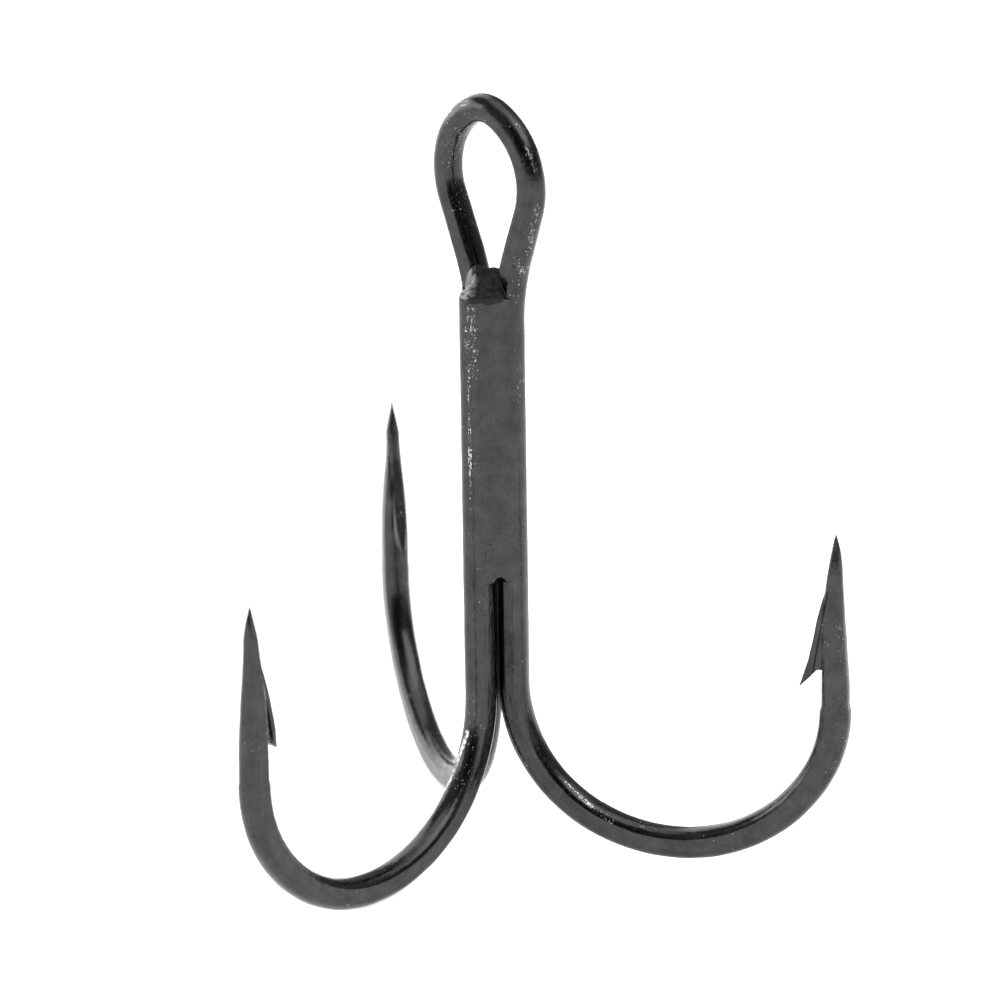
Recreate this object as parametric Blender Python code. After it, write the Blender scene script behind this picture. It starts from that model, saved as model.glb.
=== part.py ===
"""Treble fishing hook, about 33 mm long, standing on its three bends.

One forged wire makes the eye and two of the hooks.  A second wire makes the
third hook and is brazed into the groove between the shanks of the first.
The origin is the inside of the eye's crown, where a split ring pulls.
+Z points up along the shank and the eye lies in the XZ plane.
Lengths are in millimetres and angles in degrees; MM turns them into metres.
"""

import math

import bmesh
import bpy
from mathutils import Vector

MM = 0.001

# Wire section: the wire is round stock, pressed flat on both sides of each bend.
SECTION_POINTS = 20
SHANK_DEEP = 1.29  # in the plane of the bend
SHANK_WIDE = 1.18  # across the plane of the bend
BEND_DEEP = 1.33
BEND_WIDE = 1.14
EYE_DEEP = 1.22
EYE_WIDE = 1.14
SQUARENESS = 2.6  # 2 is an ellipse, higher is squarer

# The axis of the treble, seen from the eye's bearing point.
AXIS_X = 0.35
AXIS_Y = -0.39
WIRE_TO_AXIS = 0.90

# The eye: a teardrop loop that leans a little to one side.
EYE_SHANK_HALF = 0.804
EYE_FLARE_RADIUS = 9.40
EYE_FLARE = 21.0
EYE_SIDE_RADIUS = 3.12
EYE_SIDE_TURN = 85.6
EYE_CROWN_RADIUS = 1.505
EYE_SWAY = -2.1
CROWN_FACET_HALF = 6.0

# The bend, as three arcs that follow the straight shank.
BEND_START_Z = -24.81
BEND_ARCS = ((6.37, 66.6, 11), (7.65, 83.5, 14), (5.99, 29.9, 5))
LIMB_LENGTH = 7.84
SHANK_STEPS = 6

# Azimuth of each bend and how far it sits above the common level.
RIGHT_AZIMUTH = 23.6
RIGHT_RISE = 0.37
REAR_AZIMUTH = 150.7
REAR_RISE = -0.06
SINGLE_AZIMUTH = 273.7
SINGLE_RISE = -0.12

# The ground point: distance from the apex, then half sizes towards the
# shank, away from the shank and across.
POINT_STATIONS = (
    (7.57, 0.590, 0.610, 0.560),
    (6.45, 0.580, 0.575, 0.560),
    (5.60, 0.585, 0.515, 0.545),
    (4.73, 0.595, 0.460, 0.499),
    (3.74, 0.580, 0.395, 0.421),
    (2.84, 0.500, 0.345, 0.335),
    (1.98, 0.395, 0.295, 0.275),
    (1.08, 0.255, 0.245, 0.205),
    (0.62, 0.165, 0.175, 0.145),
    (0.22, 0.080, 0.065, 0.067),
    (0.03, 0.022, 0.022, 0.022),
)

# The barb, a sliver lifted out of the inner side of the point: distance from
# the apex, distance from the limb's centre line and half width.
BARB_OUTLINE = (
    (2.70, 0.10, 0.15),
    (2.70, 0.40, 0.12),
    (4.65, 0.84, 0.24),
    (5.60, 1.13, 0.22),
    (6.94, 1.60, 0.04),
    (6.42, 1.10, 0.20),
    (5.98, 0.70, 0.33),
    (5.90, 0.10, 0.33),
)
BARB_TIP = 4  # the outline's outermost point, which each hook's own tip replaces
RIGHT_BARB_TIP = (6.94, 1.60, 0.04)
REAR_BARB_TIP = (6.80, 1.50, 0.04)
SINGLE_BARB_TIP = (6.58, 1.38, 0.04)

# Braze metal.
FIT_GAP = 0.03  # clearance kept between neighbouring solids
SEAM_TOP_Z = -7.16
FRONT_SEAM_END_Z = -19.43
SIDE_SEAM_END_Z = -20.10
REAR_SEAM_END_Z = -19.80
SEAM_SIDE_CLEARANCE = 3.0  # angle kept from the line between a wire and the axis
SEAM_FACE_ANGLE = 20.0  # how far short of the wire's outermost line the seam ends
SEAM_DIP = 0.05
SEAM_FACE_STEPS = 4
SEAM_FLANK_STEPS = 8
MENISCUS_RISE = 0.16
FLARE_STATIONS = 8  # sections of the eye that count as shank beside the braze
SINGLE_TOP_Z = -7.14
CROP_CHAMFER = 0.07
BEAD_CENTRE = (0.30, -0.66, -6.72)
BEAD_SIZE = (0.60, 0.88, 0.82)
BEAD_FLOOR_Z = -7.12


# ---------------------------------------------------------------- scene

def clear_scene():
    for obj in list(bpy.data.objects):
        bpy.data.objects.remove(obj, do_unlink=True)


def make_collection(name, hidden=False):
    collection = bpy.data.collections.new(name)
    bpy.context.scene.collection.children.link(collection)
    collection.hide_render = hidden
    return collection


def metal(name, colour, roughness):
    material = bpy.data.materials.new(name)
    material.use_nodes = True
    shader = material.node_tree.nodes["Principled BSDF"]
    shader.inputs["Base Color"].default_value = (*colour, 1.0)
    shader.inputs["Metallic"].default_value = 1.0
    shader.inputs["Roughness"].default_value = roughness
    return material


def black_nickel():
    return metal("black_nickel_plate", (0.09, 0.09, 0.095), 0.28)


def plated_braze():
    return metal("plated_braze", (0.07, 0.068, 0.068), 0.45)


# ---------------------------------------------------------------- helpers

def radial(azimuth):
    turn = math.radians(azimuth)
    return Vector((math.cos(turn), math.sin(turn), 0.0))


def tangential(azimuth):
    turn = math.radians(azimuth)
    return Vector((-math.sin(turn), math.cos(turn), 0.0))


def power(value, exponent):
    return math.copysign(abs(value) ** exponent, value)


def ring_of(station, grow=0.0):
    """Points of the wire's section at one station, in millimetres."""
    centre, inward, across, near, far, wide = station
    points = []
    for step in range(SECTION_POINTS):
        angle = 2 * math.pi * (step + 0.5) / SECTION_POINTS
        deep = (near if math.cos(angle) > 0 else far) + grow
        along = deep * power(math.cos(angle), 2 / SQUARENESS)
        aside = (wide + grow) * power(math.sin(angle), 2 / SQUARENESS)
        points.append(centre + inward * along + across * aside)
    return points


def mesh_object(name, points, faces, collection):
    shell = bmesh.new()
    made = [shell.verts.new(point * MM) for point in points]
    for face in faces:
        shell.faces.new([made[index] for index in face])
    bmesh.ops.recalc_face_normals(shell, faces=shell.faces)
    mesh = bpy.data.meshes.new(name)
    shell.to_mesh(mesh)
    shell.free()
    obj = bpy.data.objects.new(name, mesh)
    collection.objects.link(obj)
    return obj


def loft(name, stations, collection, grow=0.0):
    """A closed skin over the wire's sections, with a flat cap at each end."""
    points = []
    for station in stations:
        points.extend(ring_of(station, grow))
    count = SECTION_POINTS
    faces = [list(range(count))]
    for ring in range(len(stations) - 1):
        base = ring * count
        for step in range(count):
            after = (step + 1) % count
            faces.append([base + step, base + after, base + count + after, base + count + step])
    last = (len(stations) - 1) * count
    faces.append([last + step for step in range(count)])
    return mesh_object(name, points, faces, collection)


def prism(name, outline, low, high, collection):
    """An upright prism over a plan outline."""
    count = len(outline)
    points = [Vector((x, y, low)) for x, y in outline]
    points += [Vector((x, y, high)) for x, y in outline]
    faces = [list(range(count)), list(range(count, 2 * count))]
    for step in range(count):
        after = (step + 1) % count
        faces.append([step, after, count + after, count + step])
    return mesh_object(name, points, faces, collection)


def boolean(target, cutter, operation):
    modifier = target.modifiers.new(operation.lower() + " " + cutter.name, "BOOLEAN")
    modifier.operation = operation
    modifier.solver = "EXACT"
    modifier.object = cutter


def as_cutter(obj):
    obj.hide_render = True
    obj.display_type = "WIRE"
    return obj


def finish_part(obj, material):
    obj.data.materials.append(material)
    obj.data.shade_smooth()
    obj.data.set_sharp_from_angle(angle=math.radians(40))


# ---------------------------------------------------------------- wire paths

def walk(aside, along, legs):
    """Follows straight and curved legs and returns (aside, along, heading) at each step.

    The heading is measured from the start direction.  A leg is (radius, turn, steps),
    with both signs flipped to turn back, or (None, length, steps) for a straight.
    """
    heading = 0.0
    track = []
    for radius, amount, steps in legs:
        for step in range(steps + 1):
            share = step / steps
            if radius is None:
                gone = amount * share
                here = (
                    aside + gone * math.sin(heading),
                    along + gone * math.cos(heading),
                    heading,
                )
            else:
                now = heading + math.radians(amount) * share
                here = (
                    aside + radius * (math.cos(heading) - math.cos(now)),
                    along + radius * (math.sin(now) - math.sin(heading)),
                    now,
                )
            if step or not track:
                track.append(here)
        aside, along, heading = track[-1]
    return track


def pressed(round_size, flat_size, heading):
    """Half the section's size where the wire has turned by this heading."""
    share = min(1.0, math.degrees(heading) / 25)
    return (round_size + (flat_size - round_size) * share) / 2


def hook_stations(foot, azimuth, rise, flip):
    """Sections from the lower end of a shank round its bend to the point, and the point's frame."""
    out = radial(azimuth)
    across = tangential(azimuth) * flip
    up = Vector((0, 0, 1))
    stations = []
    for reach, depth, heading in walk(0.0, 0.0, BEND_ARCS):
        centre = foot + out * reach + up * (BEND_START_Z + rise - depth)
        inward = out * math.cos(heading) + up * math.sin(heading)
        deep = pressed(SHANK_DEEP, BEND_DEEP, heading)
        wide = pressed(SHANK_WIDE, BEND_WIDE, heading)
        stations.append((centre, inward, across, deep, deep, wide))
    apex = centre + up * LIMB_LENGTH
    for below, near, far, wide in POINT_STATIONS:
        stations.append((apex - up * below, -out, across, near, far, wide))
    return stations, (apex, -out, across)


def eye_track():
    """The right half of the eye's centre line, as (x, z, heading) from the shank to the crown."""
    flare = math.radians(EYE_FLARE)
    closing = math.radians(EYE_FLARE - EYE_SIDE_TURN)
    width_at_sides = EYE_SIDE_RADIUS * (math.cos(closing) - math.cos(flare))
    flared = EYE_SHANK_HALF + EYE_FLARE_RADIUS * (1 - math.cos(flare))
    straight = (EYE_CROWN_RADIUS * math.cos(closing) - width_at_sides - flared) / math.sin(flare)
    to_crown = 90 + EYE_FLARE - EYE_SIDE_TURN - CROWN_FACET_HALF
    legs = (
        (EYE_FLARE_RADIUS, EYE_FLARE, 4),
        (None, straight, 2),
        (-EYE_SIDE_RADIUS, -EYE_SIDE_TURN, 13),
        (-EYE_CROWN_RADIUS, -to_crown, 3),
    )
    return walk(EYE_SHANK_HALF, 0.0, legs)


def eye_stations():
    """Sections round the eye, from the right shank over the crown to the rear shank.

    They are set at the height that puts the flat inside of the crown at zero.
    """
    lean = math.tan(math.radians(EYE_SWAY))
    half = eye_track()
    first_angle = math.pi / SECTION_POINTS
    facet_depth = EYE_DEEP / 2 * math.cos(first_angle) ** (2 / SQUARENESS)
    drop = half[-1][1] - facet_depth * math.cos(math.radians(CROWN_FACET_HALF))
    across = Vector((0, -1, 0))
    size = (EYE_DEEP / 2, EYE_DEEP / 2, EYE_WIDE / 2)
    right = []
    rear = []
    for x, z, heading in half:
        middle = AXIS_X + lean * z
        for side, into in ((1, right), (-1, rear)):
            outward = Vector((side * math.cos(heading), 0, -math.sin(heading)))
            into.append((Vector((middle + side * x, 0, z - drop)), outward, across, *size))
    return right + rear[::-1]


def between(first, second, share):
    """The section part of the way from one station to another."""
    vectors = [first[i].lerp(second[i], share) for i in range(3)]
    sizes = [first[i] + (second[i] - first[i]) * share for i in range(3, 6)]
    return vectors[0], vectors[1].normalized(), vectors[2].normalized(), *sizes


def shank_stations(start, end):
    return [between(start, end, step / SHANK_STEPS) for step in range(1, SHANK_STEPS)]


def wire_feet():
    """Where the three wires stand in plan: right, rear and single."""
    right = Vector((AXIS_X + EYE_SHANK_HALF, 0, 0))
    rear = Vector((AXIS_X - EYE_SHANK_HALF, 0, 0))
    axis = Vector((AXIS_X, AXIS_Y, 0))
    return right, rear, axis + radial(SINGLE_AZIMUTH) * WIRE_TO_AXIS


# ---------------------------------------------------------------- parts

def barb(name, point, tip, collection):
    """The lifted sliver, as a wedge between two mirrored outlines."""
    apex, inward, across = point
    outline = list(BARB_OUTLINE)
    outline[BARB_TIP] = tip
    count = len(outline)
    points = []
    for side in (-1, 1):
        for below, off, half in outline:
            points.append(apex + inward * off - Vector((0, 0, below)) + across * (side * half))
    faces = []
    for step in range(count):
        after = (step + 1) % count
        faces.append([step, after, count + after])
        faces.append([step, count + after, count + step])
    for base in (0, count):
        middle = sum(points[base : base + count], Vector()) / count
        points.append(middle)
        for step in range(count):
            faces.append([len(points) - 1, base + step, base + (step + 1) % count])
    return as_cutter(mesh_object(name, points, faces, collection))


def eyed_double_hook(parts, cutters):
    """One wire: right point, right bend, shank, eye, shank, rear bend, rear point."""
    right_foot, rear_foot, _ = wire_feet()
    right, right_point = hook_stations(right_foot, RIGHT_AZIMUTH, RIGHT_RISE, -1)
    rear, rear_point = hook_stations(rear_foot, REAR_AZIMUTH, REAR_RISE, 1)
    eye = eye_stations()
    stations = right[::-1] + shank_stations(right[0], eye[0]) + eye
    stations += shank_stations(eye[-1], rear[0]) + rear
    wire = loft("eyed_double_hook", stations, parts)
    boolean(wire, barb("right_barb", right_point, RIGHT_BARB_TIP, cutters), "UNION")
    boolean(wire, barb("rear_barb", rear_point, REAR_BARB_TIP, cutters), "UNION")
    finish_part(wire, black_nickel())


def single_shank(foot):
    """The single hook's straight shank, from its cropped upper end down to the bend."""
    bend = hook_stations(foot, SINGLE_AZIMUTH, SINGLE_RISE, 1)[0][0]
    top = (Vector((foot.x, foot.y, SINGLE_TOP_Z)), *bend[1:])
    shoulder = (Vector((foot.x, foot.y, SINGLE_TOP_Z - CROP_CHAMFER)), *bend[1:])
    cropped = (*top[:3], *(size - CROP_CHAMFER for size in top[3:]))
    return top, [cropped, shoulder] + shank_stations(shoulder, bend)


def single_hook(parts, cutters):
    """The second wire: cropped shank, bend and point."""
    foot = wire_feet()[2]
    bend, point = hook_stations(foot, SINGLE_AZIMUTH, SINGLE_RISE, 1)
    wire = loft("single_hook", single_shank(foot)[1] + bend, parts)
    boolean(wire, barb("single_barb", point, SINGLE_BARB_TIP, cutters), "UNION")
    finish_part(wire, black_nickel())


def shanks():
    """The three wires' sections beside the braze: right, rear and single."""
    right_foot, rear_foot, single_foot = wire_feet()
    eye = eye_stations()
    right = hook_stations(right_foot, RIGHT_AZIMUTH, RIGHT_RISE, -1)[0][0]
    rear = hook_stations(rear_foot, REAR_AZIMUTH, REAR_RISE, 1)[0][0]
    top, single = single_shank(single_foot)
    above = (top[0] + Vector((0, 0, FIT_GAP)), *top[1:])
    return (
        [right] + shank_stations(right, eye[0]) + eye[:FLARE_STATIONS],
        eye[-FLARE_STATIONS:] + shank_stations(eye[-1], rear) + [rear],
        [above] + single[1:],
    )


def shank_spaces(cutters):
    """The three shanks, grown by the gap that is kept from the braze."""
    names = ("right_shank_space", "rear_shank_space", "single_shank_space")
    return [as_cutter(loft(name, path, cutters, FIT_GAP)) for name, path in zip(names, shanks())]


def surface_point(station, direction):
    """Where a level ray from a wire's centre meets its section, grown by the gap."""
    centre, inward, across, near, far, wide = station
    along = direction.dot(inward)
    deep = (near if along > 0 else far) + FIT_GAP
    aside = direction.dot(across) / (wide + FIT_GAP)
    spread = abs(along / deep) ** SQUARENESS + abs(aside) ** SQUARENESS
    return centre + direction * spread ** (-1 / SQUARENESS)


def turned(direction, towards, angle):
    """The direction turned in plan by this angle to the side where another one lies."""
    sense = 1 if direction.cross(towards).z > 0 else -1
    turn = math.radians(angle) * sense
    x = direction.x * math.cos(turn) - direction.y * math.sin(turn)
    y = direction.x * math.sin(turn) + direction.y * math.cos(turn)
    return Vector((x, y, 0))


def seam_section(first, second):
    """Level section of the braze between two wires: both wire flanks, then the dished face."""
    level = first[0].z
    axis = Vector((AXIS_X, AXIS_Y, level))
    middle = (first[0] + second[0]) / 2
    out = (middle - axis).normalized()
    flanks = []
    for wire, other in ((first, second), (second, first)):
        chord = (other[0] - wire[0]).normalized()
        inner = turned((axis - wire[0]).normalized(), chord, SEAM_SIDE_CLEARANCE)
        sweep = math.degrees(inner.angle(out)) - SEAM_FACE_ANGLE
        flanks.append([
            surface_point(wire, turned(inner, chord, sweep * step / SEAM_FLANK_STEPS))
            for step in range(SEAM_FLANK_STEPS + 1)
        ])
    face = []
    for step in range(1, SEAM_FACE_STEPS):
        share = step / SEAM_FACE_STEPS
        dip = out * (SEAM_DIP * math.sin(math.pi * share))
        face.append(flanks[0][-1].lerp(flanks[1][-1], share) - dip)
    return axis + out * FIT_GAP, flanks[0], flanks[1], face


def hollowed(point, middle, chord, half_width):
    """A point of the seam's lower end, raised to make the hollow meniscus."""
    share = (point - middle).dot(chord) / half_width
    return point + Vector((0, 0, MENISCUS_RISE * max(0.0, 1 - share * share)))


def braze_seam(name, first_shank, second_shank, end_z, parts):
    """Braze that fills the groove between two shanks and ends in a hollow meniscus."""
    heights = {station[0].z for station in first_shank + second_shank}
    levels = [end_z, *sorted(z for z in heights if end_z < z < SEAM_TOP_Z), SEAM_TOP_Z]
    points = []
    for ring, level in enumerate(levels):
        first = at_level(first_shank, level)
        second = at_level(second_shank, level)
        corner, left, right, face = seam_section(first, second)
        loop = [corner] + left + face + right[::-1]
        if ring == 0:
            middle = (left[-1] + right[-1]) / 2
            half_width = (right[-1] - left[-1]).length / 2
            chord = (right[-1] - left[-1]).normalized()
            loop = [hollowed(point, middle, chord, half_width) for point in loop]
        points.extend(loop)
    count = len(points) // len(levels)
    top = len(points) - count
    faces = []
    for base in range(0, top, count):
        for step in range(count):
            after = (step + 1) % count
            faces.append([base + step, base + after, base + count + after, base + count + step])
    for base in (0, top):
        faces.append([base, base + 1, base + count - 1])
        for step in range(1, SEAM_FLANK_STEPS + 1):
            mirror = base + count - step
            faces.append([base + step, base + step + 1, mirror - 1, mirror])
        outer = range(SEAM_FLANK_STEPS + 1, count - SEAM_FLANK_STEPS)
        faces.append([base + step for step in outer])
    seam = mesh_object(name, points, faces, parts)
    finish_part(seam, plated_braze())


def at_level(shank, level):
    """The section of a straight shank at one height."""
    for lower, upper in zip(shank, shank[1:]):
        if lower[0].z <= level <= upper[0].z:
            return between(lower, upper, (level - lower[0].z) / (upper[0].z - lower[0].z))
    raise ValueError("the shank does not reach this level")


def braze_seams(parts):
    right, rear, single = (sorted(path, key=lambda station: station[0].z) for path in shanks())
    braze_seam("braze_front_seam", single, right, FRONT_SEAM_END_Z, parts)
    braze_seam("braze_side_seam", single, rear, SIDE_SEAM_END_Z, parts)
    braze_seam("braze_rear_seam", rear, right, REAR_SEAM_END_Z, parts)


def throat_bead(spaces, parts, cutters):
    """The blob of braze over the single hook's cropped end, in the throat of the eye."""
    bead = bmesh.new()
    bmesh.ops.create_uvsphere(bead, u_segments=20, v_segments=12, radius=MM)
    bmesh.ops.scale(bead, vec=Vector(BEAD_SIZE), verts=bead.verts)
    bmesh.ops.translate(bead, vec=Vector(BEAD_CENTRE) * MM, verts=bead.verts)
    mesh = bpy.data.meshes.new("braze_throat_bead")
    bead.to_mesh(mesh)
    bead.free()
    blob = bpy.data.objects.new("braze_throat_bead", mesh)
    parts.objects.link(blob)
    floor = [(-3, -3), (3, -3), (3, 3), (-3, 3)]
    below = prism("bead_floor", floor, BEAD_FLOOR_Z - 3, BEAD_FLOOR_Z, cutters)
    for cutter in [as_cutter(below)] + spaces:
        boolean(blob, cutter, "DIFFERENCE")
    finish_part(blob, plated_braze())


def main():
    clear_scene()
    parts = make_collection("treble_hook")
    cutters = make_collection("cutters", hidden=True)
    eyed_double_hook(parts, cutters)
    single_hook(parts, cutters)
    braze_seams(parts)
    throat_bead(shank_spaces(cutters), parts, cutters)


main()
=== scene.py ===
"""Looks of a treble fishing hook: two forged wires brazed together under black nickel plating.

The CAD nodes are stood for by finer skins that follow the same centre lines and sections.
Lengths are in millimetres until MM turns them into metres; angles are in degrees.
"""

import math

import bmesh
import bpy
import numpy as np
from mathutils import Matrix, Vector, kdtree, noise


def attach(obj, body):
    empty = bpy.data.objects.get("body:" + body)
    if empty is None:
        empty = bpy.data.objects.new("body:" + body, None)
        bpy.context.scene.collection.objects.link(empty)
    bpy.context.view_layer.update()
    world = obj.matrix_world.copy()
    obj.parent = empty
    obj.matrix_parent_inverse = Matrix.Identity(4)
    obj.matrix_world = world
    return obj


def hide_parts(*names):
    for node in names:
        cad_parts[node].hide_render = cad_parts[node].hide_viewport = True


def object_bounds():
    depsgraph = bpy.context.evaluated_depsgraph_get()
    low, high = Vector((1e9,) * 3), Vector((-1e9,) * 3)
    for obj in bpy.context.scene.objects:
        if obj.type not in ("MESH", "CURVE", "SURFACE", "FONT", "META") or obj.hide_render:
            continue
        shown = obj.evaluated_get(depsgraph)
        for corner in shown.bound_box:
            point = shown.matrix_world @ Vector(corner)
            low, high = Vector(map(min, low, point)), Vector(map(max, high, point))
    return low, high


MM = 0.001

# ---------------------------------------------------------------- dimensions

# Wire section: a rounded form whose two sides are pressed flat.
ROUNDNESS = 2.35
SIDE_SWELL = 1.075
SIDE_FILLET = 0.035
EYE_ROUNDNESS = 1.95
EYE_PRESS_LOW_Z = -6.5
EYE_PRESS_HIGH_Z = -2.0
SHANK_DEEP = 1.29
SHANK_WIDE = 1.18
BEND_DEEP = 1.34
BEND_WIDE = 1.14
EYE_DEEP = 1.22
EYE_WIDE = 1.14
PRESSING_TURN = 25.0
QUADRANT_ANGLES = (4, 12, 20, 28, 36, 43, 49, 54, 58, 61, 63.5, 65.5, 67, 68.5, 71, 76, 84)
SECTION_ANGLES = tuple(
    math.radians(angle)
    for angle in (
        *QUADRANT_ANGLES,
        *(180 - angle for angle in QUADRANT_ANGLES[::-1]),
        *(180 + angle for angle in QUADRANT_ANGLES),
        *(360 - angle for angle in QUADRANT_ANGLES[::-1]),
    )
)

AXIS_X = 0.35
AXIS_Y = -0.39
WIRE_TO_AXIS = 0.90

EYE_SHANK_HALF = 0.804
EYE_FLARE_RADIUS = 9.40
EYE_FLARE = 21.0
EYE_SIDE_RADIUS = 3.12
EYE_SIDE_TURN = 85.6
EYE_CROWN_RADIUS = 1.505
EYE_SWAY = -2.1

BEND_START_Z = -24.81
BEND_ARCS = ((6.37, 66.6), (7.65, 83.5), (5.99, 29.9))
LIMB_LENGTH = 7.84
RING_SPACING = 0.11

RIGHT_AZIMUTH = 23.6
RIGHT_RISE = 0.37
REAR_AZIMUTH = 150.7
REAR_RISE = -0.06
SINGLE_AZIMUTH = 273.7
SINGLE_RISE = -0.12

POINT_STATIONS = (
    (7.57, 0.590, 0.610, 0.560),
    (6.45, 0.580, 0.575, 0.560),
    (5.60, 0.585, 0.515, 0.545),
    (4.73, 0.595, 0.460, 0.499),
    (3.74, 0.580, 0.395, 0.421),
    (2.84, 0.500, 0.345, 0.335),
    (1.98, 0.395, 0.295, 0.282),
    (1.42, 0.306, 0.268, 0.274),
    (1.32, 0.290, 0.262, 0.258),
    (0.62, 0.165, 0.175, 0.124),
    (0.22, 0.080, 0.065, 0.050),
    (0.03, 0.022, 0.022, 0.022),
)

BARB_OUTLINE = (
    (2.35, 0.10, 0.12),
    (2.35, 0.40, 0.08),
    (3.20, 0.63, 0.16),
    (3.85, 0.78, 0.20),
    (4.65, 0.92, 0.24),
    (5.60, 1.14, 0.22),
    (6.94, 1.60, 0.04),
    (6.42, 1.10, 0.20),
    (5.98, 0.70, 0.33),
    (5.90, 0.10, 0.33),
)
BARB_TIP = 6
BARB_CUT = ((2.50, 0.28, 0.09), (6.30, 0.89, 0.20))
BARB_CUT_DEPTHS = (0.11, 0.80)
RIGHT_BARB_TIP = (6.94, 1.60, 0.04)
REAR_BARB_TIP = (6.80, 1.50, 0.04)
SINGLE_BARB_TIP = (6.58, 1.38, 0.04)

SINGLE_TOP_Z = -7.14
CROP_CHAMFER = 0.07


# ---------------------------------------------------------------- helpers

def radial(azimuth):
    turn = math.radians(azimuth)
    return Vector((math.cos(turn), math.sin(turn), 0.0))


def tangential(azimuth):
    turn = math.radians(azimuth)
    return Vector((-math.sin(turn), math.cos(turn), 0.0))


def power(value, exponent):
    return math.copysign(abs(value) ** exponent, value)


def soft_least(value, limit, fillet):
    """The smaller of two sizes, rounded off where they cross."""
    gap = max(fillet - abs(value - limit), 0.0) / fillet
    return min(value, limit) - gap * gap * fillet * 0.25


def eye_share(centre):
    """0 on the shank and the bends, 1 at the sides and crown of the eye."""
    share = min(1.0, max(0.0, (centre.z - EYE_PRESS_LOW_Z) / (EYE_PRESS_HIGH_Z - EYE_PRESS_LOW_Z)))
    return share * share * (3 - 2 * share)


def section_point(station, angle):
    """A point of the wire's skin, and where it lies on the section: deep, aside, near an edge."""
    centre, inward, across, near, far, wide = station
    outer = math.cos(angle) > 0
    rounder = eye_share(centre) if outer else 0.0
    roundness = ROUNDNESS + (EYE_ROUNDNESS - ROUNDNESS) * rounder
    swell = SIDE_SWELL + (1.0 - SIDE_SWELL) * rounder
    deep = near if outer else far
    along = deep * power(math.cos(angle), 2 / roundness)
    raw = abs(wide * swell * power(math.sin(angle), 2 / roundness))
    aside = math.copysign(soft_least(raw, wide, SIDE_FILLET * wide), math.sin(angle))
    edge = math.exp(-(((raw - wide) / (0.06 * wide)) ** 2)) * (1 - rounder)
    return centre + inward * along + across * aside, (along / deep, aside / wide, edge)


def walk(aside, along, legs):
    """Follows legs of (radius, turn) or (None, length) and returns (aside, along, heading)."""
    heading = 0.0
    track = []
    for radius, amount in legs:
        length = amount if radius is None else abs(radius * math.radians(amount))
        steps = max(2, round(length / RING_SPACING))
        for step in range(steps + 1):
            share = step / steps
            if radius is None:
                gone = amount * share
                here = (
                    aside + gone * math.sin(heading),
                    along + gone * math.cos(heading),
                    heading,
                )
            else:
                now = heading + math.radians(amount) * share
                here = (
                    aside + radius * (math.cos(heading) - math.cos(now)),
                    along + radius * (math.sin(now) - math.sin(heading)),
                    now,
                )
            if step or not track:
                track.append(here)
        aside, along, heading = track[-1]
    return track


def pressed(round_size, flat_size, heading):
    share = min(1.0, math.degrees(heading) / PRESSING_TURN)
    return (round_size + (flat_size - round_size) * share) / 2


def smooth_rows(rows, spacing):
    """Rows of (place, sizes...) resampled along a cubic through them."""
    table = np.array(rows, float)[::-1]
    place = table[:, 0]
    slopes = np.gradient(table[:, 1:], place, axis=0)
    count = max(2, round((place[-1] - place[0]) / spacing))
    wanted = np.linspace(place[0], place[-1], count)
    out = []
    for here in wanted[::-1]:
        low = min(max(np.searchsorted(place, here) - 1, 0), len(place) - 2)
        width = place[low + 1] - place[low]
        t = (here - place[low]) / width
        first = table[low, 1:]
        second = table[low + 1, 1:]
        sizes = (
            (2 * t**3 - 3 * t**2 + 1) * first
            + (t**3 - 2 * t**2 + t) * width * slopes[low]
            + (3 * t**2 - 2 * t**3) * second
            + (t**3 - t**2) * width * slopes[low + 1]
        )
        out.append((here, *np.maximum(sizes, 0.012)))
    return out


def hook_stations(foot, azimuth, rise, flip):
    """Sections from the lower end of a shank round its bend to the point, and the point's frame."""
    out = radial(azimuth)
    across = tangential(azimuth) * flip
    up = Vector((0, 0, 1))
    stations = []
    for reach, depth, heading in walk(0.0, 0.0, BEND_ARCS):
        centre = foot + out * reach + up * (BEND_START_Z + rise - depth)
        inward = out * math.cos(heading) + up * math.sin(heading)
        deep = pressed(SHANK_DEEP, BEND_DEEP, heading)
        wide = pressed(SHANK_WIDE, BEND_WIDE, heading)
        stations.append((centre, inward, across, deep, deep, wide))
    apex = centre + up * LIMB_LENGTH
    for below, near, far, wide in smooth_rows(POINT_STATIONS, RING_SPACING * 0.7):
        stations.append((apex - up * below, -out, across, near, far, wide))
    return stations, (apex, -out, across)


def eye_track():
    flare = math.radians(EYE_FLARE)
    closing = math.radians(EYE_FLARE - EYE_SIDE_TURN)
    width_at_sides = EYE_SIDE_RADIUS * (math.cos(closing) - math.cos(flare))
    flared = EYE_SHANK_HALF + EYE_FLARE_RADIUS * (1 - math.cos(flare))
    straight = (EYE_CROWN_RADIUS * math.cos(closing) - width_at_sides - flared) / math.sin(flare)
    legs = (
        (EYE_FLARE_RADIUS, EYE_FLARE),
        (None, straight),
        (-EYE_SIDE_RADIUS, -EYE_SIDE_TURN),
        (-EYE_CROWN_RADIUS, -(90 + EYE_FLARE - EYE_SIDE_TURN)),
    )
    return walk(EYE_SHANK_HALF, 0.0, legs)


def eye_stations():
    lean = math.tan(math.radians(EYE_SWAY))
    half = eye_track()
    drop = half[-1][1] - EYE_DEEP / 2
    across = Vector((0, -1, 0))
    size = (EYE_DEEP / 2, EYE_DEEP / 2, EYE_WIDE / 2)
    right = []
    rear = []
    for x, z, heading in half:
        middle = AXIS_X + lean * z
        for side, into in ((1, right), (-1, rear)):
            outward = Vector((side * math.cos(heading), 0, -math.sin(heading)))
            into.append((Vector((middle + side * x, 0, z - drop)), outward, across, *size))
    return right + rear[-2::-1]


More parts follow.
